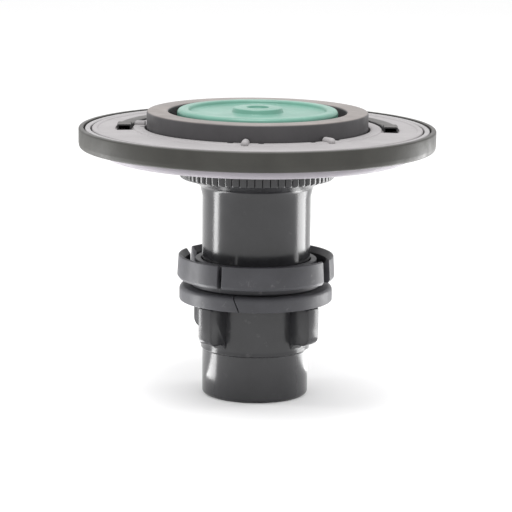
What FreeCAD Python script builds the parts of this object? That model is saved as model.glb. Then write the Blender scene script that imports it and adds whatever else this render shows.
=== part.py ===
import FreeCAD, Part
import Sketcher
import os
import re

# Drop-in diaphragm kit of a flush valve: a clamped rubber rim, a rigid core that lifts with its
# guide, and a tilting relief valve whose stem hangs down through the guide's bore.
# Millimetres.  +Z runs up the common axis, and z = 0 is the bottom rim of the guide.
# Angles are measured about +Z from +X; the front of the object faces -Y.

DRIVING_SIZES = {
    # Heights of the stack, from the guide's bottom rim up
    "step_low": 8.5,
    "wing_foot": 10.5,
    "refill_low": 17.3,
    "refill_thick": 2.7,
    "flow_tall": 5.4,
    "flare_low": 36.2,
    "flange_low": 39.5,
    "flange_thick": 3.5,
    "seat_thick": 2.3,
    "rubber_thick": 1.6,
    "filter_thick": 1.6,
    "cup_tall": 4.6,
    "cup_floor_rise": 1.1,
    "cup_floor_thick": 1.0,
    # Guide
    "tail_radius": 9.56,
    "barrel_radius": 9.76,
    "bore_radius": 8.2,
    "tail_round": 0.7,
    "flare_out": 1.8,
    "flare_round": 1.2,
    "flange_radius": 13.9,
    "flange_edge": 0.3,
    "knurl_depth": 0.45,
    "knurl_count": 63,
    "neck_radius": 12.0,
    "neck_bore": 10.2,
    "wing_radius": 13.8,
    "wing_width": 3.1,
    "wing_corner": 1.2,
    "snap_out": 0.7,
    "snap_tall": 0.6,
    "snap_width": 2.4,
    "guide_turn": -41.0,
    # Rings on the guide
    "refill_radius": 13.83,
    "refill_round": 0.8,
    "split_gap": 0.3,
    "split_lean": 1.6,
    "split_turn": -103.6,
    "flow_radius": 14.22,
    "flow_top_radius": 14.0,
    "flow_foot_rise": 2.0,
    "flow_wall": 1.4,
    "flow_floor": 0.9,
    "flow_sleeve": 1.1,
    "flow_sleeve_drop": 0.6,
    "narrow_slot": 0.8,
    "wide_slot": 2.5,
    "narrow_slot_turn": -117.0,
    "wide_slot_turn": -26.0,
    # Diaphragm
    "rim_radius": 32.0,
    "rim_inner": 29.9,
    "rim_low": 45.0,
    "rim_tall": 3.6,
    "rim_round": 0.5,
    "lip_width": 0.95,
    "lip_tall": 1.2,
    "lip_groove": 0.25,
    "centre_radius": 22.0,
    "web_thick": 1.0,
    "web_gap": 0.3,
    "loop_inner": 22.8,
    "loop_outer": 27.7,
    "loop_low": 43.2,
    "loop_round": 1.8,
    "seat_radius": 19.0,
    # Filter ring and bypass
    "peg_radius": 0.65,
    "peg_long": 2.5,
    "peg_turn": -95.6,
    "second_peg_on": 40.9,
    "third_peg_on": 180.0,
    "fourth_peg_on": 269.1,
    "tongue_width": 4.2,
    "notch_width": 1.0,
    "notch_deep": 0.7,
    "strip_inset": 2.4,
    "strip_wide": 2.5,
    "strip_tall": 0.8,
    "strip_wall": 0.3,
    "strip_sweep": 190.0,
    "strip_start": -5.0,
    "port_tall": 0.4,
    "port_sweep": 9.0,
    "seat_deep": 0.6,
    "seat_beyond": 4.0,
    "seat_margin": 0.3,
    "jet_radius": 0.6,
    "jet_orifice": 0.3,
    "jet_inset": 14.0,
    # Clamping cup and relief seat
    "cup_radius": 19.85,
    "cup_bore": 16.0,
    "cup_edge": 0.4,
    "port_radius": 7.5,
    "seat_inset": 1.4,
    "seat_flange_thick": 0.8,
    "seat_bore": 6.6,
    # Relief valve
    "seal_inset": 3.4,
    "seal_thick": 0.8,
    "cap_gap": 1.6,
    "cap_tall": 1.3,
    "cap_skirt": 0.3,
    "cap_rim_width": 2.0,
    "cap_floor_thick": 0.6,
    "cap_round": 0.6,
    "hub_radius": 4.3,
    "hub_rise": 0.3,
    "dimple_radius": 2.05,
    "dimple_deep": 0.5,
    "retainer_radius": 5.0,
    "retainer_thick": 0.6,
    "stem_radius": 1.6,
    "stem_low": 2.4,
    "stem_socket": 0.9,
    "collar_radius": 2.5,
    "collar_thick": 1.2,
    "sleeve_radius": 2.9,
    "sleeve_long": 20.0,
    # Clearances
    "thread_clearance": 0.05,
    "press_clearance": 0.02,
    "ring_clearance": 0.08,
    "turning_clearance": 0.10,
    "sliding_clearance": 0.08,
    "cup_clearance": 0.35,
    "lifting_clearance": 0.3,
}

# Sizes that follow from the driving ones
WORKED_SIZES = {
    "refill_top": "refill_low + refill_thick",
    "flow_low": "refill_top + turning_clearance",
    "flow_top": "flow_low + flow_tall",
    "flow_inner": "barrel_radius + turning_clearance",
    "sleeve_top_of_flow": "flow_top - flow_sleeve_drop",
    "flange_top": "flange_low + flange_thick",
    "seat_top": "flange_top + seat_thick",
    "rubber_top": "seat_top + rubber_thick",
    "filter_top": "rubber_top + filter_thick",
    "filter_outer": "rim_inner - lifting_clearance",
    "filter_inner": "cup_radius + cup_clearance",
    "strip_inner": "filter_inner + strip_inset",
    "strip_outer": "strip_inner + strip_wide",
    "thread_bore": "neck_radius + thread_clearance",
    "cup_top": "rubber_top + cup_tall",
    "cup_ceiling": "rubber_top + cup_floor_rise",
    "cup_floor": "cup_ceiling + cup_floor_thick",
    "neck_top": "cup_ceiling - press_clearance",
    "cap_radius": "cup_bore - cap_gap",
    "seal_radius": "cap_radius - seal_inset",
    "seat_flange_radius": "seal_radius - seat_inset",
    "seat_face": "cup_floor + seat_flange_thick",
    "seal_top": "seat_face + seal_thick",
    "cap_top": "seal_top + cap_tall",
    "hub_top": "cap_top + hub_rise",
    "rim_top": "rim_low + rim_tall",
    "lip_low": "rim_top - lip_tall",
    "web_top": "rubber_top - web_gap",
    "web_outer": "rim_inner - thread_clearance",
    "web_inner": "centre_radius + web_gap",
    "strip_low": "filter_top - seat_deep",
    "strip_top": "strip_low + strip_tall",
    "port_top": "strip_top + port_tall",
    "flow_foot_radius": "flow_radius - flow_wall - 0.5",
    "jet_at": "strip_outer - strip_wall - 1.2 * jet_orifice",
    "jet_first": "strip_start + jet_inset",
    "jet_last": "strip_start + strip_sweep - jet_inset",
    "jet_hole": "jet_radius + press_clearance",
    "stem_bore": "stem_radius + press_clearance",
    "sleeve_bore": "stem_radius + sliding_clearance",
    "collar_top": "stem_low + collar_thick",
    "sleeve_low": "collar_top + sliding_clearance",
    "sleeve_top": "sleeve_low + sleeve_long",
}

document = FreeCAD.newDocument("diaphragm_kit")
sheet = document.addObject("Spreadsheet::Sheet", "Sizes")
sub_parts = []


def fill_sheet():
    """One row for each size: its name in column A, its number or formula in column B."""
    rows = [(name, str(value)) for name, value in DRIVING_SIZES.items()]
    rows += [(name, "=" + formula) for name, formula in WORKED_SIZES.items()]
    for row, (name, content) in enumerate(rows, start=1):
        sheet.set("A%d" % row, name)
        sheet.set("B%d" % row, content)
        sheet.setAlias("B%d" % row, name)
    document.recompute()


def bound(formula):
    """The formula with each size's name pointing into the sheet."""
    return re.sub(r"\b([a-z]\w*)\b(?!\()", r"Sizes.\1", formula)


def value(formula):
    """What the formula comes to now."""
    return float(sheet.evalExpression(bound(formula)))


def new_body(label):
    body = document.addObject("PartDesign::Body", "body_" + label)
    body.Label = label
    return body


def origin_feature(body, role):
    return next(item for item in body.Origin.OriginFeatures if item.Role == role)


def new_sketch(body, name, plane, offset=None):
    """A sketch on one of the body's own origin planes, moved along its normal by a formula."""
    sketch = body.newObject("Sketcher::SketchObject", name)
    sketch.AttachmentSupport = [(origin_feature(body, plane), "")]
    sketch.MapMode = "FlatFace"
    if offset is not None:
        sketch.setExpression("AttachmentOffset.Base.z", bound(offset))
    return sketch


def place_point(sketch, line, end, across, up):
    """Tie one end of a sketch line, or a circle's centre, to two formulas."""
    for kind, formula in (("DistanceX", across), ("DistanceY", up)):
        index = sketch.addConstraint(
            Sketcher.Constraint(kind, -1, 1, line, end, value(formula)))
        sketch.setExpression("Constraints[%d]" % index, bound(formula))


def draw_outline(sketch, points):
    """A closed outline through points given as pairs of formulas."""
    corners = [FreeCAD.Vector(value(across), value(up), 0) for across, up in points]
    count = len(points)
    for index in range(count):
        sketch.addGeometry(Part.LineSegment(corners[index], corners[(index + 1) % count]))
    for index in range(count):
        sketch.addConstraint(
            Sketcher.Constraint("Coincident", index, 2, (index + 1) % count, 1))
        place_point(sketch, index, 1, *points[index])


def draw_circle(sketch, across, up, radius):
    centre = FreeCAD.Vector(value(across), value(up), 0)
    circle = sketch.addGeometry(
        Part.Circle(centre, FreeCAD.Vector(0, 0, 1), value(radius)))
    place_point(sketch, circle, 3, across, up)
    index = sketch.addConstraint(Sketcher.Constraint("Radius", circle, value(radius)))
    sketch.setExpression("Constraints[%d]" % index, bound(radius))


def revolve(body, points, name="turned", angle=None):
    """Turn an outline of (radius, height) pairs about the body's Z axis."""
    sketch = new_sketch(body, name + "_outline", "XZ_Plane")
    draw_outline(sketch, points)
    feature = body.newObject("PartDesign::Revolution", name)
    feature.Profile = sketch
    feature.ReferenceAxis = (sketch, ["V_Axis"])
    if angle is not None:
        feature.setExpression("Angle", bound(angle))
    document.recompute()
    return feature


def pad(body, sketch, name, length, both_ways=False, reverse=False):
    feature = body.newObject("PartDesign::Pad", name)
    feature.Profile = sketch
    feature.setExpression("Length", bound(length))
    feature.SideType = "Symmetric" if both_ways else "One side"
    feature.Reversed = reverse
    document.recompute()
    return feature


def pocket(body, sketch, name, depth, both_ways=False, reverse=False):
    """Cut a sketch into the body, and make sure that it took something away."""
    before = body.Shape.Volume
    feature = body.newObject("PartDesign::Pocket", name)
    feature.Profile = sketch
    feature.setExpression("Length", bound(depth))
    feature.SideType = "Symmetric" if both_ways else "One side"
    feature.Reversed = reverse
    document.recompute()
    if not body.Shape.Volume < before:
        raise RuntimeError(name + " cuts nothing")
    return feature


def repeat(body, features, name, count):
    """Repeat features about the body's Z axis."""
    pattern = body.newObject("PartDesign::PolarPattern", name)
    pattern.Originals = features
    pattern.Axis = (origin_feature(body, "Z_Axis"), [""])
    pattern.Angle = 360
    pattern.setExpression("Occurrences", bound(count))
    body.Tip = pattern
    document.recompute()
    return pattern


def copy_at(body, features, name, angle):
    """One copy of the features, turned by the angle about the body's Z axis."""
    pattern = repeat(body, features, name, "2")
    pattern.Mode = "Spacing"
    pattern.setExpression("Offset", bound(angle))
    document.recompute()
    return pattern


def circles_at(shape, radius, height):
    """Names of the round edges with this radius about Z at this height."""
    wanted_radius = value(radius)
    wanted_height = value(height)
    names = []
    for index, edge in enumerate(shape.Edges, start=1):
        if not isinstance(edge.Curve, Part.Circle):
            continue
        centre = edge.Curve.Center
        same_radius = abs(edge.Curve.Radius - wanted_radius) < 1e-4
        same_height = abs(centre.z - wanted_height) < 1e-4
        if same_radius and same_height and abs(centre.x) + abs(centre.y) < 1e-4:
            names.append("Edge%d" % index)
    return names


def round_edges(body, name, places, radius):
    """Fillet the round edges at the given (radius, height) pairs."""
    base = body.Tip
    names = []
    for place in places:
        names += circles_at(base.Shape, *place)
    fillet = body.newObject("PartDesign::Fillet", name)
    fillet.Base = (base, names)
    fillet.setExpression("Radius", bound(radius))
    document.recompute()
    return fillet


def finish_part(shape_object, turn=None):
    """Give a sub-part its turn about the axis and keep it for export."""
    shape_object.Placement = FreeCAD.Placement()
    if turn is not None:
        axis = FreeCAD.Vector(0, 0, 1)
        shape_object.Placement = FreeCAD.Placement(
            FreeCAD.Vector(), FreeCAD.Rotation(axis, value(turn)))
    document.recompute()
    sub_parts.append(shape_object)


def make_rim():
    """Thick rubber rim that the valve body and its cover clamp."""
    body = new_body("diaphragm_bead")
    recess = "rim_inner + lip_width + lip_groove"
    revolve(body, [
        ("rim_inner", "rim_low"), ("rim_radius", "rim_low"), ("rim_radius", "rim_top"),
        (recess, "rim_top"), (recess, "lip_low"), ("rim_inner", "lip_low")])
    round_edges(body, "outer_edges", [("rim_radius", "rim_low"), ("rim_radius", "rim_top")],
                "rim_round")
    finish_part(body)

    lip = new_body("bead_lip_ring")
    outer = "rim_inner + lip_width"
    top = "rim_top - lip_groove / 2"
    revolve(lip, [
        ("rim_inner", "lip_low"), (outer, "lip_low"), (outer, top), ("rim_inner", top)])
    round_edges(lip, "lip_edges", [("rim_inner", top), (outer, top)], "lip_groove")
    finish_part(lip)


def make_web():
    """Flexible loop of rubber between the rim and the core."""
    body = new_body("diaphragm_web")
    under = "web_top - web_thick"
    trough = "loop_low + web_thick"
    inner_wall = "loop_inner + web_thick"
    outer_wall = "loop_outer - web_thick"
    revolve(body, [
        ("web_inner", "web_top"), (inner_wall, "web_top"), (inner_wall, trough),
        (outer_wall, trough), (outer_wall, "web_top"), ("web_outer", "web_top"),
        ("web_outer", under), ("loop_outer", under), ("loop_outer", "loop_low"),
        ("loop_inner", "loop_low"), ("loop_inner", under), ("web_inner", under)])
    round_edges(body, "loop_outside", [("loop_outer", "loop_low"), ("loop_inner", "loop_low")],
                "loop_round")
    round_edges(body, "loop_inside", [(inner_wall, trough), (outer_wall, trough)],
                "loop_round - web_thick")
    sketch = new_sketch(body, "bypass_hole", "XY_Plane", "loop_low - web_thick")
    draw_circle(sketch, "jet_at", "0", "jet_radius")
    pocket(body, sketch, "bypass_hole_cut", "3 * web_thick", reverse=True)
    finish_part(body, "jet_first")


def make_core_rubber():
    """Rubber pad in the middle of the diaphragm, and the hard ring that closes on the barrel."""
    pad_body = new_body("diaphragm_centre")
    revolve(pad_body, [
        ("thread_bore", "seat_top"), ("centre_radius", "seat_top"),
        ("centre_radius", "rubber_top"), ("thread_bore", "rubber_top")])
    finish_part(pad_body)

    ring = new_body("seat_washer")
    revolve(ring, [
        ("thread_bore", "flange_top"), ("seat_radius - seat_thick / 2", "flange_top"),
        ("seat_radius", "flange_top + seat_thick / 2"), ("seat_radius", "seat_top"),
        ("thread_bore", "seat_top")])
    finish_part(ring)


def make_filter_ring():
    """Pale ring on top of the rubber, with locating pegs on tongues along its inner edge."""
    body = new_body("filter_ring")
    revolve(body, [
        ("filter_inner", "rubber_top"), ("filter_outer", "rubber_top"),
        ("filter_outer", "filter_top"), ("filter_inner", "filter_top")])
    round_edges(body, "outer_edge", [("filter_outer", "filter_top")], "lip_groove")
    peg = new_sketch(body, "peg_section", "YZ_Plane", "filter_inner + peg_radius / 4")
    draw_circle(peg, "0", "filter_top + peg_radius / 4", "peg_radius")
    peg_pad = pad(body, peg, "peg", "peg_long")
    notch = new_sketch(body, "notch_pair", "XY_Plane", "filter_top")
    back = "filter_inner - notch_deep"
    front = "filter_inner + notch_deep"
    near = "tongue_width / 2"
    far = "tongue_width / 2 + notch_width"
    draw_outline(notch, [(back, near), (front, near), (front, far), (back, far)])
    notch_cut = pocket(body, notch, "notch", "filter_thick + 1")
    other = new_sketch(body, "other_notch_outline", "XY_Plane", "filter_top")
    draw_outline(other, [(back, "-" + near), (front, "-" + near),
                         (front, "-(" + far + ")"), (back, "-(" + far + ")")])
    other_cut = pocket(body, other, "other_notch", "filter_thick + 1")
    for which in ("second", "third", "fourth"):
        copy_at(body, [peg_pad, notch_cut, other_cut], which + "_peg", which + "_peg_on")
    cut_strip_seat(body)
    for side, angle in (("first", "jet_first"), ("last", "jet_last")):
        hole = new_sketch(body, side + "_jet_hole", "XY_Plane", "filter_top")
        draw_circle(hole, "jet_at * cos((%s - peg_turn) * 1deg)" % angle,
                    "jet_at * sin((%s - peg_turn) * 1deg)" % angle, "jet_hole")
        pocket(body, hole, side + "_jet_cut", "filter_thick + 1")
    finish_part(body, "peg_turn")


def cut_strip_seat(body):
    """Sunken seat that the bypass strip lies in, a little longer and wider than the strip."""
    before = body.Shape.Volume
    seat_in = "strip_inner - seat_margin"
    seat_out = "strip_outer + seat_margin"
    above = "filter_top + 2 * peg_radius"
    sketch = new_sketch(body, "strip_seat_outline", "XZ_Plane")
    start = "strip_start - seat_beyond - peg_turn"
    sketch.AttachmentOffset = FreeCAD.Placement(
        FreeCAD.Vector(), FreeCAD.Rotation(FreeCAD.Vector(0, 1, 0), value(start)))
    sketch.setExpression("AttachmentOffset.Rotation.Angle", bound(start))
    draw_outline(sketch, [
        (seat_in, "strip_low"), (seat_out, "strip_low"), (seat_out, above), (seat_in, above)])
    groove = body.newObject("PartDesign::Groove", "strip_seat")
    groove.Profile = sketch
    groove.ReferenceAxis = (sketch, ["V_Axis"])
    groove.setExpression("Angle", bound("strip_sweep + 2 * seat_beyond"))
    document.recompute()
    if not body.Shape.Volume < before:
        raise RuntimeError("the strip's seat cuts nothing")


def make_bypass():
    """C-shaped filter channel, open at both ends, and the two jets that it feeds."""
    body = new_body("bypass_strip")
    roof = "strip_top - strip_wall"
    inner_wall = "strip_inner + strip_wall"
    outer_wall = "strip_outer - strip_wall"
    revolve(body, [
        ("strip_inner", "strip_low"), (inner_wall, "strip_low"), (inner_wall, roof),
        (outer_wall, roof), (outer_wall, "strip_low"), ("strip_outer", "strip_low"),
        ("strip_outer", "strip_top"), ("strip_inner", "strip_top")], angle="strip_sweep")
    port = revolve(body, [
        ("strip_inner", roof), ("strip_outer", roof), ("strip_outer", "port_top"),
        ("strip_inner", "port_top")], name="raised_port", angle="port_sweep")
    copy_at(body, [port], "other_port", "strip_sweep - port_sweep")
    finish_part(body, "strip_start")

    jets = []
    for side, angle in (("first", "jet_first"), ("last", "jet_last")):
        tube = {}
        for kind, radius in (("shell", "jet_radius"), ("orifice", "jet_orifice")):
            cylinder = document.addObject("Part::Cylinder", "%s_jet_%s" % (side, kind))
            cylinder.setExpression("Radius", bound(radius))
            cylinder.setExpression("Height", bound("strip_low - rubber_top"))
            cylinder.setExpression("Placement.Base.x",
                                   bound("jet_at * cos(%s * 1deg)" % angle))
            cylinder.setExpression("Placement.Base.y",
                                   bound("jet_at * sin(%s * 1deg)" % angle))
            cylinder.setExpression("Placement.Base.z", bound("rubber_top"))
            tube[kind] = cylinder
        jet = document.addObject("Part::Cut", side + "_jet")
        jet.Base = tube["shell"]
        jet.Tool = tube["orifice"]
        jets.append(jet)
    both = document.addObject("Part::Compound", "bypass_jets")
    both.Links = jets
    both.Label = "bypass_jets"
    finish_part(both)


def make_cup():
    """Clamping cup that screws down on the guide's neck, and the relief seat in its floor."""
    body = new_body("clamp_cup")
    revolve(body, [
        ("thread_bore", "rubber_top"), ("cup_radius", "rubber_top"), ("cup_radius", "cup_top"),
        ("cup_bore", "cup_top"), ("cup_bore", "cup_floor"), ("port_radius", "cup_floor"),
        ("port_radius", "cup_ceiling"), ("thread_bore", "cup_ceiling")])
    round_edges(body, "rim_edges", [("cup_radius", "cup_top"), ("cup_bore", "cup_top")],
                "cup_edge")
    finish_part(body)

    seat = new_body("relief_seat")
    spigot = "port_radius - press_clearance"
    revolve(seat, [
        ("seat_bore", "cup_ceiling"), (spigot, "cup_ceiling"), (spigot, "cup_floor"),
        ("seat_flange_radius", "cup_floor"), ("seat_flange_radius", "seat_face"),
        ("seat_bore", "seat_face")])
    finish_part(seat)


def make_guide():
    """Hollow guide: barrel, four wings, a flared collar with a knurled edge, and a neck."""
    body = new_body("guide")
    collar = "flange_radius - knurl_depth - flange_edge"
    flare_middle = "flare_low + 0.62 * (flange_low - flare_low)"
    revolve(body, [
        ("bore_radius", "0"), ("tail_radius", "0"), ("tail_radius", "step_low"),
        ("barrel_radius", "step_low"), ("barrel_radius", "flare_low"),
        ("barrel_radius + 0.3 * flare_out", flare_middle),
        ("barrel_radius + flare_out", "flange_low"), (collar, "flange_low"),
        ("flange_radius", "flange_low + flange_edge"),
        ("flange_radius", "flange_top - flange_edge"), (collar, "flange_top"),
        ("neck_radius", "flange_top"), ("neck_radius", "neck_top"), ("neck_bore", "neck_top"),
        ("neck_bore", "flange_top"), ("bore_radius", "flange_low")])
    round_edges(body, "tail_edge", [("tail_radius", "0")], "tail_round")
    round_edges(body, "flare_edges",
                [("barrel_radius", "flare_low"),
                 ("barrel_radius + 0.3 * flare_out", flare_middle)], "flare_round")
    wing = new_sketch(body, "wing_outline", "XZ_Plane")
    root = "(barrel_radius + bore_radius) / 2"
    draw_outline(wing, [
        (root, "wing_foot"), ("wing_radius - wing_corner", "wing_foot"),
        ("wing_radius", "wing_foot + wing_corner"), ("wing_radius", "refill_low"),
        (root, "refill_low")])
    wing_pad = pad(body, wing, "wing", "wing_width", both_ways=True)
    snap = new_sketch(body, "snap_outline", "XZ_Plane")
    snap_low = "sleeve_top_of_flow + turning_clearance"
    draw_outline(snap, [
        (root, snap_low), ("barrel_radius + snap_out", snap_low),
        ("barrel_radius + snap_out", snap_low + " + snap_tall / 2"),
        ("barrel_radius", snap_low + " + 2 * snap_tall"),
        (root, snap_low + " + 2 * snap_tall")])
    snap_pad = pad(body, snap, "snap_lug", "snap_width", both_ways=True)
    repeat(body, [wing_pad, snap_pad], "wings_and_lugs", "4")
    knurl = new_sketch(body, "knurl_outline", "XY_Plane", "flange_low")
    draw_outline(knurl, [
        ("flange_radius - knurl_depth", "0"), ("flange_radius + knurl_depth", "1.5 * knurl_depth"),
        ("flange_radius + knurl_depth", "-1.5 * knurl_depth")])
    knurl_cut = pocket(body, knurl, "knurl", "flange_thick", reverse=True)
    knurl_cut.Refine = False
    pattern = repeat(body, [knurl_cut], "knurls", "knurl_count")
    pattern.Refine = False
    finish_part(body, "guide_turn")


def make_refill_ring():
    """Split ring that snaps round the guide above its wings."""
    body = new_body("refill_ring")
    inner = "barrel_radius + ring_clearance"
    revolve(body, [
        (inner, "refill_low"), ("refill_radius", "refill_low"), ("refill_radius", "refill_top"),
        (inner, "refill_top")])
    round_edges(body, "top_edge", [("refill_radius", "refill_top")], "refill_round")
    split = new_sketch(body, "split_outline", "YZ_Plane", "barrel_radius / 2")
    low = "refill_low - 1"
    high = "refill_top + 1"
    draw_outline(split, [
        ("-split_lean / 2", low), ("split_gap - split_lean / 2", low),
        ("split_gap + split_lean / 2", high), ("split_lean / 2", high)])
    pocket(body, split, "split", "refill_radius", reverse=True)
    finish_part(body, "split_turn")


def make_flow_ring():
    """Open-topped ring with an undercut foot and slots in its wall, free to turn on the guide."""
    body = new_body("flow_ring")
    sleeve_out = "flow_inner + flow_sleeve"
    wall_in = "flow_radius - flow_wall"
    foot = "flow_low + flow_foot_rise"
    floor = foot + " + flow_floor"
    revolve(body, [
        ("flow_inner", "flow_low"), ("flow_foot_radius", "flow_low"), ("flow_foot_radius", foot),
        ("flow_radius", foot), ("flow_top_radius", "flow_top"),
        ("flow_top_radius - 0.3", "flow_top"),
        (wall_in, "flow_top - 1"), (wall_in, floor), (sleeve_out, floor),
        (sleeve_out, "sleeve_top_of_flow"), ("flow_inner", "sleeve_top_of_flow")])
    slots = (("narrow", "narrow_slot", "narrow_slot_turn"), ("wide", "wide_slot", "wide_slot_turn"))
    for name, width, turn in slots:
        direction = "(%s) * 1deg" % turn
        for half, sign in (("near", "1"), ("far", "-1")):
            corners = []
            for reach, side in ((sleeve_out, "-1"), ("flow_radius + 1", "-1"),
                                ("flow_radius + 1", "1"), (sleeve_out, "1")):
                along = "%s * (%s)" % (sign, reach)
                across = "%s * %s / 2" % (side, width)
                corners.append((
                    "%s * cos(%s) - %s * sin(%s)" % (along, direction, across, direction),
                    "%s * sin(%s) + %s * cos(%s)" % (along, direction, across, direction)))
            slot = new_sketch(body, "%s_%s_slot" % (name, half), "XY_Plane", "flow_top")
            draw_outline(slot, corners)
            pocket(body, slot, "%s_%s_cut" % (name, half), "flow_tall - flow_foot_rise")
    finish_part(body)


def make_relief_valve():
    """Dished cap on a rubber seal, with a washer and a stem under it."""
    cap = new_body("relief_cap")
    skirt = "seal_top - cap_skirt"
    floor_top = "seal_top + cap_floor_thick"
    rim_in = "cap_radius - cap_rim_width"
    socket_top = "seal_top + stem_socket"
    revolve(cap, [
        ("stem_bore", "seal_top"), ("seal_radius + 0.4", "seal_top"), ("seal_radius + 0.4", skirt),
        ("cap_radius", skirt), ("cap_radius", "cap_top"), (rim_in, "cap_top"),
        (rim_in, floor_top), ("hub_radius", floor_top), ("hub_radius", "hub_top"),
        ("dimple_radius", "hub_top"), ("dimple_radius", "hub_top - dimple_deep"),
        ("0", "hub_top - dimple_deep"), ("0", socket_top), ("stem_bore", socket_top)])
    round_edges(cap, "cap_rim_edges", [("cap_radius", "cap_top"), (rim_in, "cap_top")],
                "cap_round")
    finish_part(cap)

    seal = new_body("relief_seal")
    revolve(seal, [
        ("stem_bore", "seat_face"), ("seal_radius", "seat_face"), ("seal_radius", "seal_top"),
        ("stem_bore", "seal_top")])
    finish_part(seal)

    washer = new_body("seal_washer")
    washer_low = "seat_face - retainer_thick"
    revolve(washer, [
        ("stem_bore", washer_low), ("retainer_radius", washer_low),
        ("retainer_radius", "seat_face"), ("stem_bore", "seat_face")])
    finish_part(washer)

    stem = new_body("relief_stem")
    stem_top = "seal_top + stem_socket - press_clearance"
    foot = "stem_low - collar_thick / 2"
    revolve(stem, [
        ("0", foot), ("stem_radius", foot), ("stem_radius", stem_top), ("0", stem_top)])
    finish_part(stem)

    collar = new_body("stem_collar")
    revolve(collar, [
        ("stem_bore", "stem_low"), ("collar_radius", "stem_low"), ("collar_radius", "collar_top"),
        ("stem_bore", "collar_top")])
    finish_part(collar)

    sleeve = new_body("trip_sleeve")
    revolve(sleeve, [
        ("sleeve_bore", "sleeve_low"), ("sleeve_radius", "sleeve_low"),
        ("sleeve_radius", "sleeve_top"), ("sleeve_bore", "sleeve_top")])
    finish_part(sleeve)


def check_model():
    """Stop if any object failed or any sub-part has no valid shape."""
    for item in document.Objects:
        if "Invalid" in item.State or "Error" in item.State:
            raise RuntimeError("%s failed: %s" % (item.Label, item.State))
    for item in sub_parts:
        if item.Shape.isNull() or not item.Shape.isValid():
            raise RuntimeError("%s has no valid shape" % item.Label)


def write_parts():
    os.makedirs("parts", exist_ok=True)
    for item in sub_parts:
        item.Shape.exportStep("parts/%s.step" % item.Label)


fill_sheet()
make_rim()
make_web()
make_core_rubber()
make_filter_ring()
make_bypass()
make_cup()
make_guide()
make_refill_ring()
make_flow_ring()
make_relief_valve()
document.recompute()
check_model()
write_parts()
for item in sub_parts:
    box = item.Shape.BoundBox
    print("%-18s %9.2f mm3  z %6.2f to %6.2f  radius %5.2f"
          % (item.Label, item.Shape.Volume, box.ZMin, box.ZMax, max(box.XMax, box.YMax)))
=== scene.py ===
"""Looks of a flush valve's drop-in diaphragm kit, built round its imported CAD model.

Profiles are written in millimetres and turned into metres when a mesh is made.
Angles are in degrees about +Z from +X; the front of the object faces -Y.
"""

import math

import bmesh
import bpy
from mathutils import Matrix, Vector


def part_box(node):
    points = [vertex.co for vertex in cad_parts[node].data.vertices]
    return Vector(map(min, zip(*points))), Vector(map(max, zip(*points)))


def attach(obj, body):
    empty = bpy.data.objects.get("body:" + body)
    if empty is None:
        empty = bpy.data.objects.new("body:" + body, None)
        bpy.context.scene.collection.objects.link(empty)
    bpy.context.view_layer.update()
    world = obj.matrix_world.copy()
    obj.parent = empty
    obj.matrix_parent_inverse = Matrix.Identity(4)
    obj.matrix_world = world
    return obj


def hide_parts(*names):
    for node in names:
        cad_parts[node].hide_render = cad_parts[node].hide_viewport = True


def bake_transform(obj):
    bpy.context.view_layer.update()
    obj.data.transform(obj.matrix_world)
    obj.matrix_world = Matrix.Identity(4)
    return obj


MM = 0.001
ROUND_STEPS = 256                  # segments in a full turn of a plain lathe piece
SHARP_ANGLE = math.radians(38)     # edges sharper than this keep a hard crease
SOFTEN_ANGLE = math.radians(40)    # edges sharper than this are bevelled by soften()
DOUBLED = 1e-7                     # points closer than this, in metres, are one point

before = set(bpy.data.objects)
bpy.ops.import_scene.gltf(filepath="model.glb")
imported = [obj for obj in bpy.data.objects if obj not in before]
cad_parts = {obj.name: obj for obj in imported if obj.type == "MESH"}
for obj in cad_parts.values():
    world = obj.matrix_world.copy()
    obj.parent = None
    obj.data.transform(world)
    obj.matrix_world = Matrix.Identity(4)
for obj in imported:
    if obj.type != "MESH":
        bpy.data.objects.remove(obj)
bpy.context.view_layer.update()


# ---------------------------------------------------------------- sizes from the frame

def low_of(node):
    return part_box(node)[0][2] / MM


def top_of(node):
    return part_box(node)[1][2] / MM


def radius_of(node):
    """Largest reach of a round node from the axis."""
    low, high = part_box(node)
    return max(high[0], high[1], -low[0], -low[1]) / MM


# ---------------------------------------------------------------- profiles and meshes

def rounded(corners, steps=6):
    """A closed profile from (radius, height, corner radius) triples, its corners cut to arcs."""
    points = []
    count = len(corners)
    for index in range(count):
        x, z, bend = corners[index]
        here = Vector((x, z))
        if bend <= 0:
            points.append((x, z))
            continue
        before = Vector(corners[index - 1][:2]) - here
        after = Vector(corners[(index + 1) % count][:2]) - here
        half = before.angle(after) / 2
        reach = min(bend / math.tan(half), before.length * 0.48, after.length * 0.48)
        bend = reach * math.tan(half)
        centre = here + (before.normalized() + after.normalized()).normalized() * (
            bend / math.sin(half))
        first = here + before.normalized() * reach - centre
        last = here + after.normalized() * reach - centre
        turn = first.angle_signed(last)
        for step in range(steps + 1):
            spoke = first.copy()
            spoke.rotate(Matrix.Rotation(-turn * step / steps, 2))
            points.append((centre.x + spoke.x, centre.y + spoke.y))
    return points


def shade(mesh):
    mesh.shade_smooth()
    mesh.set_sharp_from_angle(angle=SHARP_ANGLE)


def mesh_object(name, verts, faces, smooth=True):
    """A linked object from points in millimetres."""
    mesh = bpy.data.meshes.new(name)
    mesh.from_pydata([(x * MM, y * MM, z * MM) for x, y, z in verts], [], faces)
    mesh.validate()
    mesh.update()
    if smooth:
        shade(mesh)
    obj = bpy.data.objects.new(name, mesh)
    bpy.context.collection.objects.link(obj)
    return obj


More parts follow.
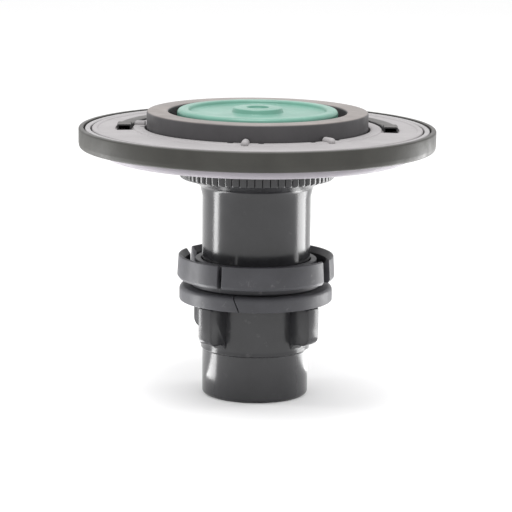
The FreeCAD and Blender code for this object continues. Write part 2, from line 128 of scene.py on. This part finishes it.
def lathe(name, profile, steps=ROUND_STEPS, start=0.0, sweep=360.0, vary=None):
    """Turn a closed profile about Z.  vary(angle, r, z) may move a point before it is turned."""
    whole = sweep >= 360.0
    rows = steps if whole else steps + 1
    count = len(profile)
    verts = []
    for row in range(rows):
        angle = start + sweep * row / steps
        c, s = math.cos(math.radians(angle)), math.sin(math.radians(angle))
        for r, z in profile:
            if vary is not None:
                r, z = vary(angle, r, z)
            verts.append((r * c, r * s, z))
    faces = []
    for row in range(steps):
        a, b = row * count, ((row + 1) % rows) * count
        for i in range(count):
            j = (i + 1) % count
            faces.append((a + i, b + i, b + j, a + j))
    if not whole:
        last = (rows - 1) * count
        faces.append(tuple(range(count)))
        faces.append(tuple(last + i for i in reversed(range(count))))
    obj = mesh_object(name, verts, faces)
    fix_normals(obj)
    return obj


def fix_normals(obj):
    """Join doubled points, turn every face outwards, and shade the mesh."""
    work = bmesh.new()
    work.from_mesh(obj.data)
    bmesh.ops.remove_doubles(work, verts=work.verts, dist=DOUBLED)
    bmesh.ops.recalc_face_normals(work, faces=work.faces)
    work.to_mesh(obj.data)
    work.free()
    shade(obj.data)


def soften(obj, width, steps=3):
    """Round every edge sharper than SOFTEN_ANGLE, for good."""
    modifier = obj.modifiers.new("soften", "BEVEL")
    modifier.width = width * MM
    modifier.segments = steps
    modifier.limit_method = "ANGLE"
    modifier.angle_limit = SOFTEN_ANGLE
    modifier.harden_normals = False
    apply_modifiers(obj)
    shade(obj.data)


def apply_modifiers(obj):
    graph = bpy.context.evaluated_depsgraph_get()
    graph.update()
    mesh = bpy.data.meshes.new_from_object(obj.evaluated_get(graph))
    obj.modifiers.clear()
    obj.data = mesh


def turn_about_axis(obj, degrees):
    obj.data.transform(Matrix.Rotation(math.radians(degrees), 4, "Z"))


def bearing(angle, centre):
    """Signed angle from centre to angle, between -180 and 180."""
    return (angle - centre + 180.0) % 360.0 - 180.0


# ---------------------------------------------------------------- materials

# Scales of the noise behind each kind of unevenness and behind the patches of painted sheen, in
# cycles per metre
MOTTLE_SCALE, SHEEN_PATCH_SCALE, SCUFF_SCALE, GLOSS_SCALE = 140.0, 90.0, 420.0, 320.0
GRAIN_HEIGHT = 0.05 * MM
GLOSSIER, DULLER = 0.85, 1.2       # how far the roughness strays from its middle


def moulded(name, colour, roughness, mottle=0.15, top_sheen=0.0, sheen_and_scuff_colour=(0.6, 0.58, 0.56),
            grain=0.2, grain_scale=2600.0, scuffs=0.0, gloss=0.5, metallic=0.0, turned=0.0):
    """A moulded or turned surface: mottled colour, uneven gloss, fine grain, scuffs, and a painted
    sheen that lightens up-facing surfaces in patches.

    gloss is the strength of its reflections, and turned the closeness of its tool marks.
    """
    material = bpy.data.materials.new(name)
    material.use_nodes = True
    nodes, links = material.node_tree.nodes, material.node_tree.links
    shader = nodes["Principled BSDF"]
    shader.inputs["Metallic"].default_value = metallic
    shader.inputs["Specular IOR Level"].default_value = gloss
    where = nodes.new("ShaderNodeTexCoord")

    def noise(scale, detail, rough=0.55):
        node = nodes.new("ShaderNodeTexNoise")
        node.inputs["Scale"].default_value = scale
        node.inputs["Detail"].default_value = detail
        node.inputs["Roughness"].default_value = rough
        links.new(where.outputs["Object"], node.inputs["Vector"])
        return node.outputs["Fac"]

    def remap(value, low, high, to_low, to_high):
        node = nodes.new("ShaderNodeMapRange")
        node.inputs["From Min"].default_value = low
        node.inputs["From Max"].default_value = high
        node.inputs["To Min"].default_value = to_low
        node.inputs["To Max"].default_value = to_high
        links.new(value, node.inputs["Value"])
        return node.outputs["Result"]

    def blend_colours(factor, first, second):
        node = nodes.new("ShaderNodeMix")
        node.data_type = "RGBA"
        links.new(factor, node.inputs["Factor"])
        for socket, content in ((node.inputs[6], first), (node.inputs[7], second)):
            if isinstance(content, tuple):
                socket.default_value = (*content, 1.0)
            else:
                links.new(content, socket)
        return node.outputs[2]

    darker = tuple(channel * (1 - mottle) for channel in colour)
    lighter = tuple(min(1.0, channel * (1 + mottle)) for channel in colour)
    paint = blend_colours(remap(noise(MOTTLE_SCALE, 4), 0.35, 0.65, 0, 1), darker, lighter)
    # Painted sheen: surfaces facing up are blended, in patches, towards a lighter colour, standing
    # in for light falling on their tops.
    if top_sheen > 0:
        normal = nodes.new("ShaderNodeNewGeometry")
        split = nodes.new("ShaderNodeSeparateXYZ")
        links.new(normal.outputs["Normal"], split.inputs["Vector"])
        upward = remap(split.outputs["Z"], 0.5, 1.0, 0.0, top_sheen)
        patchy = nodes.new("ShaderNodeMath")
        patchy.operation = "MULTIPLY"
        links.new(upward, patchy.inputs[0])
        links.new(remap(noise(SHEEN_PATCH_SCALE, 5), 0.3, 0.7, 0.55, 1.0), patchy.inputs[1])
        paint = blend_colours(patchy.outputs["Value"], paint, sheen_and_scuff_colour)
    if scuffs > 0:
        streak = remap(noise(SCUFF_SCALE, 8, 0.75), 0.60, 0.74, 0.0, scuffs)
        paint = blend_colours(streak, paint, sheen_and_scuff_colour)
    links.new(paint, shader.inputs["Base Color"])
    uneven = remap(noise(GLOSS_SCALE, 5), 0.3, 0.7, roughness * GLOSSIER,
                   min(1.0, roughness * DULLER))
    links.new(uneven, shader.inputs["Roughness"])

    height = noise(grain_scale, 3)
    if turned > 0:
        split = nodes.new("ShaderNodeSeparateXYZ")
        links.new(where.outputs["Object"], split.inputs["Vector"])
        ridge = nodes.new("ShaderNodeMath")
        ridge.operation = "SINE"
        links.new(remap(split.outputs["Z"], 0.0, MM, 0.0, turned), ridge.inputs[0])
        height = ridge.outputs["Value"]
    bump = nodes.new("ShaderNodeBump")
    bump.inputs["Strength"].default_value = grain
    bump.inputs["Distance"].default_value = GRAIN_HEIGHT
    links.new(height, bump.inputs["Height"])
    links.new(bump.outputs["Normal"], shader.inputs["Normal"])
    return material


GUIDE_BLACK = moulded("guide_black", (0.024, 0.024, 0.026), 0.19, mottle=0.10, scuffs=0.05,
                      grain=0.10)
RING_BLACK = moulded("ring_black", (0.052, 0.052, 0.058), 0.43, mottle=0.14, scuffs=0.16,
                     grain=0.3, grain_scale=1800.0, gloss=0.35)
# Painted sheen: its up-facing faces are lightened towards a grey, standing in for light on the
# rubber's tops.
RUBBER_BLACK = moulded("rubber_black", (0.044, 0.043, 0.038), 0.48, mottle=0.10, top_sheen=0.35,
                       sheen_and_scuff_colour=(0.28, 0.27, 0.27), grain=0.25, gloss=0.30)
# Painted sheen: its up-facing faces, the top edge most in view, are lightened towards a beige grey,
# standing in for light on them.
CUP_BLACK = moulded("cup_black", (0.056, 0.053, 0.056), 0.42, mottle=0.10, top_sheen=0.85,
                    sheen_and_scuff_colour=(0.33, 0.29, 0.27), grain=0.18, gloss=0.4)
# Painted sheen: the strip's up-facing roof is lightened towards a dark grey, standing in for light
# on it.
STRIP_BLACK = moulded("strip_black", (0.022, 0.022, 0.023), 0.5, mottle=0.12, top_sheen=0.75,
                      sheen_and_scuff_colour=(0.17, 0.16, 0.155), gloss=0.4)
PALE_RING = moulded("pale_ring", (0.36, 0.345, 0.35), 0.62, mottle=0.05, grain=0.2, gloss=0.4)
# Painted sheen: the lip's pale grey stands in for light on the black rubber's top face.
LIP_SHEEN_GREY = moulded("lip_painted_sheen", (0.36, 0.35, 0.355), 0.5, mottle=0.07, grain=0.2, gloss=0.4)
WEB_GREY = moulded("web_grey", (0.33, 0.31, 0.34), 0.6, mottle=0.05, grain=0.2, gloss=0.4)
# Painted sheen: its up-facing faces are lightened towards a pale green, standing in for highlights
# on them.
GREEN = moulded("cap_green", (0.120, 0.30, 0.232), 0.34, mottle=0.08, top_sheen=0.16,
                sheen_and_scuff_colour=(0.50, 0.60, 0.57), grain=0.12)
BRASS = moulded("turned_brass", (0.62, 0.44, 0.19), 0.28, mottle=0.08, metallic=1.0,
                grain=0.3, turned=24.0)
STEEL = moulded("stamped_steel", (0.55, 0.55, 0.56), 0.3, mottle=0.05, metallic=1.0)


def finish_piece(obj, material, slot, body, *nodes):
    """Give a piece its material and body, and hide the nodes that it stands for. The slot argument
    is not used.
    """
    obj.data.materials.clear()
    obj.data.materials.append(material)
    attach(obj, body)
    if nodes:
        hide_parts(*nodes)


# ---------------------------------------------------------------- rim and web

RIM_R = radius_of("diaphragm_bead")
RIM_IN = RIM_R - 2.1
RIM_LOW, RIM_TOP = low_of("diaphragm_bead"), top_of("diaphragm_bead")
LIP_OUT = radius_of("bead_lip_ring")
LIP_TOP = top_of("bead_lip_ring")


def make_rim():
    """Black rubber rim, with a groove between its top edge and the lip, whose pale grey is a painted
    sheen on the rubber's top face.
    """
    groove = LIP_OUT + 0.28
    recess = RIM_TOP - 1.2
    profile = rounded([
        (RIM_IN, RIM_LOW, 0.2), (RIM_R - 0.15, RIM_LOW, 0.5), (RIM_R, RIM_LOW + 0.9, 0.6),
        (RIM_R, RIM_TOP, 0.35), (groove, RIM_TOP, 0.12), (groove, recess, 0),
        (RIM_IN, recess, 0)])
    rim = lathe("rim_bead", profile)
    finish_piece(rim, RUBBER_BLACK, "black_rubber", "rim", "diaphragm_bead")

    foot = LIP_TOP - 1.05
    # The lip is a pale ring of painted sheen, standing in for light on the rubber's top face.
    lip = lathe("rim_lip_painted_sheen", rounded([
        (RIM_IN, foot, 0), (LIP_OUT, foot, 0), (LIP_OUT, LIP_TOP, 0.25),
        (RIM_IN, LIP_TOP - 0.05, 0.2)]))
    finish_piece(lip, LIP_SHEEN_GREY, "pale_trim", "rim", "bead_lip_ring")


WEB_LOW, WEB_TOP = low_of("diaphragm_web"), top_of("diaphragm_web")
WEB_SECTORS = 24
WEB_STEPS = 12                     # segments in one sector


def make_web():
    """Flexible loop under the pale ring, in sectors lying between the rim and the core."""
    loop_in, loop_out = 22.8, 27.7
    skin = 1.0
    flange_low, flange_top = WEB_TOP - skin, WEB_TOP - 0.02
    trough = WEB_LOW + skin
    outer = RIM_IN + 0.25
    inner = 20.6
    bend, crease, inside_bend = 1.8, 0.35, 0.8
    profile = rounded([
        (inner, flange_top, 0), (loop_in + skin, flange_top, crease),
        (loop_in + skin, trough, inside_bend), (loop_out - skin, trough, inside_bend),
        (loop_out - skin, WEB_TOP, crease), (outer, WEB_TOP, 0), (outer, flange_low, 0),
        (loop_out, flange_low, crease), (loop_out, WEB_LOW, bend), (loop_in, WEB_LOW, bend),
        (loop_in, flange_low, crease), (inner, flange_low, 0)], steps=8)
    width = 360.0 / WEB_SECTORS
    for index in range(WEB_SECTORS):
        middle = index * width
        sector = lathe("web_%02d" % (index + 1), profile, WEB_STEPS, middle - width / 2, width)
        sector.data.materials.append(WEB_GREY)
        smooth_ends(sector, profile)
        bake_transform(sector)
        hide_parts("diaphragm_web")


def smooth_ends(sector, profile):
    """Take the two cut ends off a sector, so that neighbours close it without a seam."""
    work = bmesh.new()
    work.from_mesh(sector.data)
    ends = [face for face in work.faces if len(face.verts) == len(profile)]
    bmesh.ops.delete(work, geom=ends, context="FACES_ONLY")
    work.to_mesh(sector.data)
    work.free()


# ---------------------------------------------------------------- core: rings, strip and cup

SEAT_DEEP = 0.6                    # how far the strip sits down in the pale ring
SEAT_BEYOND = 4.0                  # degrees of seat past each end of the strip
STRIP_LOW, PORT_TOP = low_of("bypass_strip"), top_of("bypass_strip")
STRIP_START, STRIP_SWEEP = -5.0, 190.0
STRIP_IN, STRIP_OUT = 22.6, 25.1
RING_LOW, RING_TOP = low_of("filter_ring"), STRIP_LOW + SEAT_DEEP
RING_IN, RING_OUT = 20.2, radius_of("filter_ring")
PEG_TURNS = (-95.6, -54.7, 84.4, 173.5)
PEG_R = 0.65
PEG_LONG, PEG_SHORT = 2.5, 1.95    # the short ones end at the strip's seat
TONGUE_HALF = 2.1
NOTCH = 1.0
CUP_R = radius_of("clamp_cup")
CUP_LOW, CUP_TOP = low_of("clamp_cup"), top_of("clamp_cup")


def make_pale_ring():
    """Pale ring: notches beside its tongues, a raised outer lip, and a sunken seat for the strip."""
    deep = 0.7
    edge_reach = 1.0
    face = RING_TOP - 0.18
    seat_in, seat_out = STRIP_IN - 0.3, STRIP_OUT + 0.3
    side = 0.02

    def cut(angle, r, z):
        past_start = (angle - STRIP_START + SEAT_BEYOND) % 360.0
        if seat_in < r < seat_out and z > face - 0.01:
            return r, STRIP_LOW if past_start < STRIP_SWEEP + 2 * SEAT_BEYOND else z
        if r > RING_IN + edge_reach:
            return r, z
        off = min(abs(bearing(angle, turn)) for turn in PEG_TURNS)
        across = math.radians(off) * RING_IN
        if TONGUE_HALF < across < TONGUE_HALF + NOTCH:
            return r + deep, z
        return r, z

    profile = rounded([
        (RING_IN, RING_LOW, 0), (RING_OUT, RING_LOW, 0), (RING_OUT, RING_TOP, 0.25),
        (RING_OUT - 0.9, RING_TOP, 0.1), (RING_OUT - 1.1, face, 0.1), (seat_out, face, 0),
        (seat_out - side, face, 0), (seat_in + side, face, 0), (seat_in, face, 0),
        (seat_in - 0.15, RING_TOP, 0.05), (RING_IN + 1.2, RING_TOP, 0),
        (RING_IN, RING_TOP, 0.2)], steps=4)
    ring = lathe("pale_ring", profile, 3 * 360, vary=cut)
    finish_piece(ring, PALE_RING, "pale_plastic", "core", "filter_ring")
    for index, turn in enumerate(PEG_TURNS):
        peg = make_peg("peg_%d" % (index + 1), PEG_LONG if turn < STRIP_START else PEG_SHORT)
        turn_about_axis(peg, turn)
        finish_piece(peg, PALE_RING, "pale_plastic", "core")


def make_peg(name, length):
    """A peg lying along a radius, half sunk in the pale ring, with a domed outer end."""
    root, middle = RING_IN + 0.15, RING_TOP + 0.1
    dome_steps, rows = 8, 24
    outline = [(0.0, PEG_R)]
    for step in range(dome_steps + 1):
        angle = math.radians(90 * step / dome_steps)
        outline.append((length - PEG_R + PEG_R * math.sin(angle), PEG_R * math.cos(angle)))
    verts, faces = [], []
    for x, radius in outline:
        for row in range(rows):
            angle = 2 * math.pi * row / rows
            verts.append((root + x, radius * math.cos(angle), middle + radius * math.sin(angle)))
    for level in range(len(outline) - 1):
        for row in range(rows):
            a, b = level * rows + row, level * rows + (row + 1) % rows
            faces.append((a, b, b + rows, a + rows))
    faces.append(tuple(range(rows)))
    obj = mesh_object(name, verts, faces)
    fix_normals(obj)
    return obj


def make_strip():
    """Black C-shaped filter channel in its seat, hollow, with a raised open port at each end."""
    port_tall, port_sweep = 0.4, 9.0
    wall, edge = 0.25, 0.2
    top = PORT_TOP - port_tall
    roof = top - wall

    def raise_ports(angle, r, z):
        along = angle - STRIP_START
        near_end = min(along, STRIP_SWEEP - along) <= port_sweep
        return r, z + port_tall if near_end and z > STRIP_LOW + wall / 2 else z

    profile = rounded([
        (STRIP_IN, STRIP_LOW, 0), (STRIP_IN + wall, STRIP_LOW, 0), (STRIP_IN + wall, roof, 0.1),
        (STRIP_OUT - wall, roof, 0.1), (STRIP_OUT - wall, STRIP_LOW, 0),
        (STRIP_OUT, STRIP_LOW, 0), (STRIP_OUT, top, edge), (STRIP_IN, top, edge)], steps=4)
    steps = int(2 * STRIP_SWEEP)
    strip = lathe("bypass_channel", profile, steps, STRIP_START, STRIP_SWEEP, vary=raise_ports)
    finish_piece(strip, STRIP_BLACK, "black_plastic", "core", "bypass_strip")


def make_cup():
    """Clamping cup: plain bore, a floor with the relief port, and a painted sheen lightening its
    up-facing faces, the top edge most in view.
    """
    bore, port, thread = 16.0, 7.5, 12.05
    floor = low_of("relief_seat") + 1.0
    ceiling = floor - 1.0
    profile = rounded([
        (thread, CUP_LOW, 0), (CUP_R, CUP_LOW, 0), (CUP_R, CUP_TOP, 0.35), (bore, CUP_TOP, 0.3),
        (bore, floor, 0.4), (port, floor, 0.1), (port, ceiling, 0), (thread, ceiling, 0)])
    cup = lathe("cup", profile)
    finish_piece(cup, CUP_BLACK, "cup_plastic", "core", "clamp_cup")


# ---------------------------------------------------------------- relief valve

CAP_R = radius_of("relief_cap")
CAP_LOW = low_of("relief_cap")
HUB_TOP = top_of("relief_cap")


def make_cap():
    """Green dished cap with a rolled rim and a ringed hub."""
    skirt_in, underside = 11.4, CAP_LOW + 0.3
    socket, socket_top = 1.62, CAP_LOW + 1.2
    rim_in, rim_top = CAP_R - 2.0, HUB_TOP - 0.3
    floor = CAP_LOW + 0.9
    hub, dimple = 4.3, 2.05
    hub_edge = HUB_TOP - 0.05
    profile = rounded([
        (0.0, socket_top, 0), (socket, socket_top, 0), (socket, underside, 0),
        (skirt_in, underside, 0), (skirt_in, CAP_LOW, 0), (CAP_R, CAP_LOW, 0.15),
        (CAP_R, rim_top, 0.85), (rim_in, rim_top, 0.7), (rim_in - 0.25, floor, 0.35),
        (hub + 3.2, floor - 0.05, 0.4), (hub + 0.35, floor + 0.05, 0.35),
        (hub, hub_edge, 0.3), (dimple + 1.1, hub_edge, 0.2), (dimple + 0.75, HUB_TOP, 0.2),
        (dimple, HUB_TOP, 0.15), (dimple - 0.15, HUB_TOP - 0.45, 0.2), (0.0, HUB_TOP - 0.4, 0)])
    cap = lathe("green_cap", profile, 192)
    finish_piece(cap, GREEN, "green_plastic", "relief_valve", "relief_cap")


# ---------------------------------------------------------------- guide

GUIDE_TURN = -41.0                 # bearing of the first wing
GUIDE_TOP = top_of("guide")
COLLAR_TOP = low_of("seat_washer")
COLLAR_LOW = COLLAR_TOP - 3.5
COLLAR_R, NECK_R = 13.9, 12.0


def make_guide():
    """Guide: barrel with a stepped foot and a flared collar, a knurled edge, and four wings."""
    barrel, tail, bore, neck_bore = 9.76, 9.56, 8.2, 10.2
    step, flare = 8.6, 36.2
    inset, heart = COLLAR_R - 1.4, COLLAR_LOW + 1.0
    body = lathe("guide_barrel", rounded([
        (bore, 0.0, 0.15), (tail, 0.0, 0.75), (tail, step - 0.3, 0.05),
        (barrel + 0.1, step, 0.12), (barrel + 0.02, step + 0.5, 0.1), (barrel, step + 0.7, 0),
        (barrel, flare, 0), (barrel + 0.45, COLLAR_LOW - 1.3, 1.0), (inset, COLLAR_LOW - 0.1, 0),
        (inset, heart, 0), (NECK_R, heart, 0), (NECK_R, GUIDE_TOP, 0.3),
        (neck_bore, GUIDE_TOP, 0.2), (neck_bore, COLLAR_TOP, 0), (bore, COLLAR_LOW, 0)], steps=8))
    finish_piece(body, GUIDE_BLACK, "guide_plastic", "core", "guide")
    make_knurl()
    for index in range(4):
        wing = make_wing("wing_%d" % (index + 1))
        turn_about_axis(wing, GUIDE_TURN + 90 * index)
        finish_piece(wing, GUIDE_BLACK, "guide_plastic", "core", "guide")


def make_knurl():
    """Edge of the collar, with narrow upright grooves all round."""
    teeth, steps_each = 63, 16
    groove_deep, groove_shape = 0.34, 0.3
    core, foot = NECK_R - 0.2, COLLAR_LOW + 0.05

    def knurl(angle, r, z):
        if r < COLLAR_R - 1.0:
            return r, z
        wave = abs(math.sin(math.radians(angle) * teeth / 2)) ** groove_shape
        return r - groove_deep * (1 - wave), z

    ring = lathe("guide_knurl", rounded([
        (core, foot, 0), (COLLAR_R, foot, 0.35), (COLLAR_R, COLLAR_TOP, 0.3),
        (core, COLLAR_TOP, 0)], steps=3), teeth * steps_each, vary=knurl)
    finish_piece(ring, GUIDE_BLACK, "guide_plastic", "core", "guide")


def make_wing(name):
    """A wing of the guide: a flat fin with a round lower corner and softened edges."""
    reach, root = 13.8, 8.9
    foot, head = 10.5, low_of("refill_ring")
    gusset = foot - 1.2
    corner, half, edge = 1.7, 1.55, 0.3
    outline = rounded([(root, gusset, 0), (root + 0.7, gusset, 0), (root + 1.5, foot, 0.8),
                       (reach, foot, corner), (reach, head, 0), (root, head, 0)])
    verts = [(x, -half, z) for x, z in outline] + [(x, half, z) for x, z in outline]
    count = len(outline)
    faces = [tuple(range(count)), tuple(count + i for i in reversed(range(count)))]
    for i in range(count):
        j = (i + 1) % count
        faces.append((i, i + count, j + count, j))
    wing = mesh_object(name, verts, faces)
    fix_normals(wing)
    soften(wing, edge)
    return wing


# ---------------------------------------------------------------- rings on the guide

SPLIT_TURN = -104.5
SPLIT_REACH = 20.0                 # degrees either side of the split that its slant dies out in


def make_refill_ring():
    """Split ring above the wings, with a slanted split at the front."""
    low, top = low_of("refill_ring"), top_of("refill_ring")
    outer, inner = radius_of("refill_ring"), 9.84
    gap, lean = 0.9, -5.0
    profile = rounded([
        (inner, low, 0.1), (outer, low, 0.25), (outer, top, 0.85), (inner, top, 0.1)])
    ring = lathe("refill_band", profile, 240, SPLIT_TURN + gap / 2, 360 - gap)
    lean_ends(ring, low, top, lean)
    finish_piece(ring, RING_BLACK, "guide_plastic", "core", "refill_ring")


def lean_ends(ring, low, top, lean):
    """Slant the split of a ring: turn each point near it about the axis, by its height."""
    middle, tall = (low + top) / 2, top - low
    for vertex in ring.data.vertices:
        x, y, z = vertex.co
        angle = math.degrees(math.atan2(y, x))
        near = max(0.0, 1 - abs(bearing(angle, SPLIT_TURN)) / SPLIT_REACH)
        twist = math.radians(lean * near * (z / MM - middle) / tall)
        c, s = math.cos(twist), math.sin(twist)
        vertex.co = (x * c - y * s, x * s + y * c, z)
    ring.data.update()


# Bearing and width of each slot in the flow ring's wall, in degrees
NARROW_SLOT, WIDE_SLOT = 3.3, 10.0
FLOW_SLOTS = ((63.0, NARROW_SLOT), (153.0, WIDE_SLOT), (243.0, NARROW_SLOT), (334.0, WIDE_SLOT))


def make_flow_ring():
    """Open-topped ring: inner sleeve and floor in one, and an outer wall cut by four slots."""
    low, top = low_of("flow_ring"), top_of("flow_ring")
    outer, inner = radius_of("flow_ring"), 9.88
    wall_in, foot_out = outer - 1.4, 11.8
    foot = low + 1.2
    floor = foot + 0.9
    flange = wall_in + 0.1
    sleeve_out, sleeve_top = inner + 1.1, top - 0.6
    base = lathe("flow_ring_base", rounded([
        (inner, low, 0.1), (foot_out, low, 0.15), (foot_out, foot, 0.1), (flange, foot, 0),
        (flange, floor, 0), (sleeve_out, floor, 0.3), (sleeve_out, sleeve_top, 0.25),
        (inner, sleeve_top, 0.2)]))
    finish_piece(base, RING_BLACK, "ring_plastic", "flow_ring", "flow_ring")

    wall_low = foot - 0.02
    profile = rounded([
        (wall_in, wall_low, 0.1), (outer - 0.35, wall_low, 0.1), (outer, foot + 0.5, 0.25),
        (14.0, top, 0.3), (13.55, top, 0.12), (wall_in, top - 1.0, 0.2)], steps=5)
    for index, (turn, width) in enumerate(FLOW_SLOTS):
        following, next_width = FLOW_SLOTS[(index + 1) % len(FLOW_SLOTS)]
        start = turn + width / 2
        sweep = (following - next_width / 2 - start) % 360.0
        part = lathe("flow_wall_%d" % (index + 1), profile, int(sweep), start, sweep)
        soften(part, 0.12, 2)
        finish_piece(part, RING_BLACK, "ring_plastic", "flow_ring", "flow_ring")


# ---------------------------------------------------------------- parts kept from the frame

def dress_frame():
    """Materials for the CAD nodes that show as they are."""
    kept = {
        "diaphragm_centre": RUBBER_BLACK, "seat_washer": CUP_BLACK, "bypass_jets": BRASS,
        "relief_seat": BRASS, "relief_seal": RUBBER_BLACK, "seal_washer": STEEL,
        "relief_stem": BRASS, "stem_collar": BRASS, "trip_sleeve": RING_BLACK}
    for node, material in kept.items():
        for material_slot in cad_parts[node].material_slots:
            material_slot.material = material


# ---------------------------------------------------------------- stage, light and camera

AIM = Vector((0.0, 0.0, 0.0251))
CAMERA_RISE = 10.395               # degrees above level
CAMERA_AWAY = 0.4848               # metres from the aim point
CAMERA_ROLL = 0.655                # degrees
CAMERA_FIELD = 10.90               # degrees across the picture
FLOOR_HALF = 1500.0
FLOOR_DROP = 0.02 * MM             # keeps the floor clear of the guide's foot
FLOOR_WHITE = (0.93, 0.93, 0.93, 1)
ROOM_WHITE = (1.0, 1.0, 1.0, 1)
TOP_LIGHT = Vector((-0.05, -0.1, 0.6))

# Upright panels: name, bearing, distance, width, height, brightness.
STANDING_LIGHTS = (("left_strip", 180.0, 0.064, 0.014, 0.040, 12.0),
                   ("right_strip", 19.0, 0.075, 0.040, 0.040, 7.0))
# Panels on the floor: name, bearing, near end, far end, width, brightness.
LYING_LIGHTS = (("left_low", 180.0, 0.018, 0.063, 0.010, 9.0),
                ("right_low", 19.0, 0.018, 0.074, 0.022, 6.0))


def make_camera():
    data = bpy.data.cameras.new("camera")
    data.angle = math.radians(CAMERA_FIELD)
    camera = bpy.data.objects.new("camera", data)
    rise = math.radians(CAMERA_RISE)
    away = Vector((0, -math.cos(rise), math.sin(rise))) * CAMERA_AWAY
    look = (-away).to_track_quat("-Z", "Y").to_matrix().to_4x4()
    roll = Matrix.Rotation(math.radians(CAMERA_ROLL), 4, "Z")
    camera.matrix_world = Matrix.Translation(AIM + away) @ look @ roll
    bpy.context.collection.objects.link(camera)
    bpy.context.scene.camera = camera


def make_floor():
    corners = [(x * FLOOR_HALF, y * FLOOR_HALF, 0) for x, y in ((-1, -1), (1, -1), (1, 1), (-1, 1))]
    floor = mesh_object("floor", corners, [(0, 1, 2, 3)], smooth=False)
    floor.location.z = -FLOOR_DROP
    material = bpy.data.materials.new("floor_paper")
    material.use_nodes = True
    shader = material.node_tree.nodes["Principled BSDF"]
    shader.inputs["Base Color"].default_value = FLOOR_WHITE
    shader.inputs["Roughness"].default_value = 0.9
    floor.data.materials.append(material)


def area_light(name, place, size, power, turn):
    """A rectangular light that the camera doesn't see."""
    data = bpy.data.lights.new(name, "AREA")
    data.shape = "RECTANGLE"
    data.size, data.size_y = size
    data.energy = power
    light = bpy.data.objects.new(name, data)
    light.location = place
    light.rotation_euler = turn
    light.visible_camera = False
    bpy.context.collection.objects.link(light)


def facing(place, target):
    """The turn that points a light at the target."""
    return (target - place).to_track_quat("-Z", "Y").to_euler()


def make_lights():
    world = bpy.data.worlds.new("studio")
    bpy.context.scene.world = world
    world.use_nodes = True
    background = world.node_tree.nodes["Background"]
    background.inputs["Color"].default_value = ROOM_WHITE
    background.inputs["Strength"].default_value = 1.0
    for name, angle, away, wide, tall, radiance in STANDING_LIGHTS:
        place = at_bearing(angle, away, tall / 2 + 0.001)
        power = radiance * math.pi * wide * tall
        area_light(name, place, (wide, tall), power, facing(place, Vector((0, 0, place.z))))
    for name, angle, near, far, wide, radiance in LYING_LIGHTS:
        long = far - near
        place = at_bearing(angle, (near + far) / 2, 0.0005)
        power = radiance * math.pi * long * wide
        area_light(name, place, (long, wide), power, (math.pi, 0, -math.radians(angle)))
    area_light("top_soft", TOP_LIGHT, (0.3, 0.3), 2.0, facing(TOP_LIGHT, AIM))


def at_bearing(degrees, away, height):
    """A point in metres, that far from the axis."""
    angle = math.radians(degrees)
    return Vector((math.cos(angle) * away, math.sin(angle) * away, height))


bpy.context.scene.view_settings.view_transform = "Standard"
make_camera()
make_floor()
make_lights()
make_rim()
make_web()
make_pale_ring()
make_strip()
make_cup()
make_cap()
make_guide()
make_refill_ring()
make_flow_ring()
dress_frame()
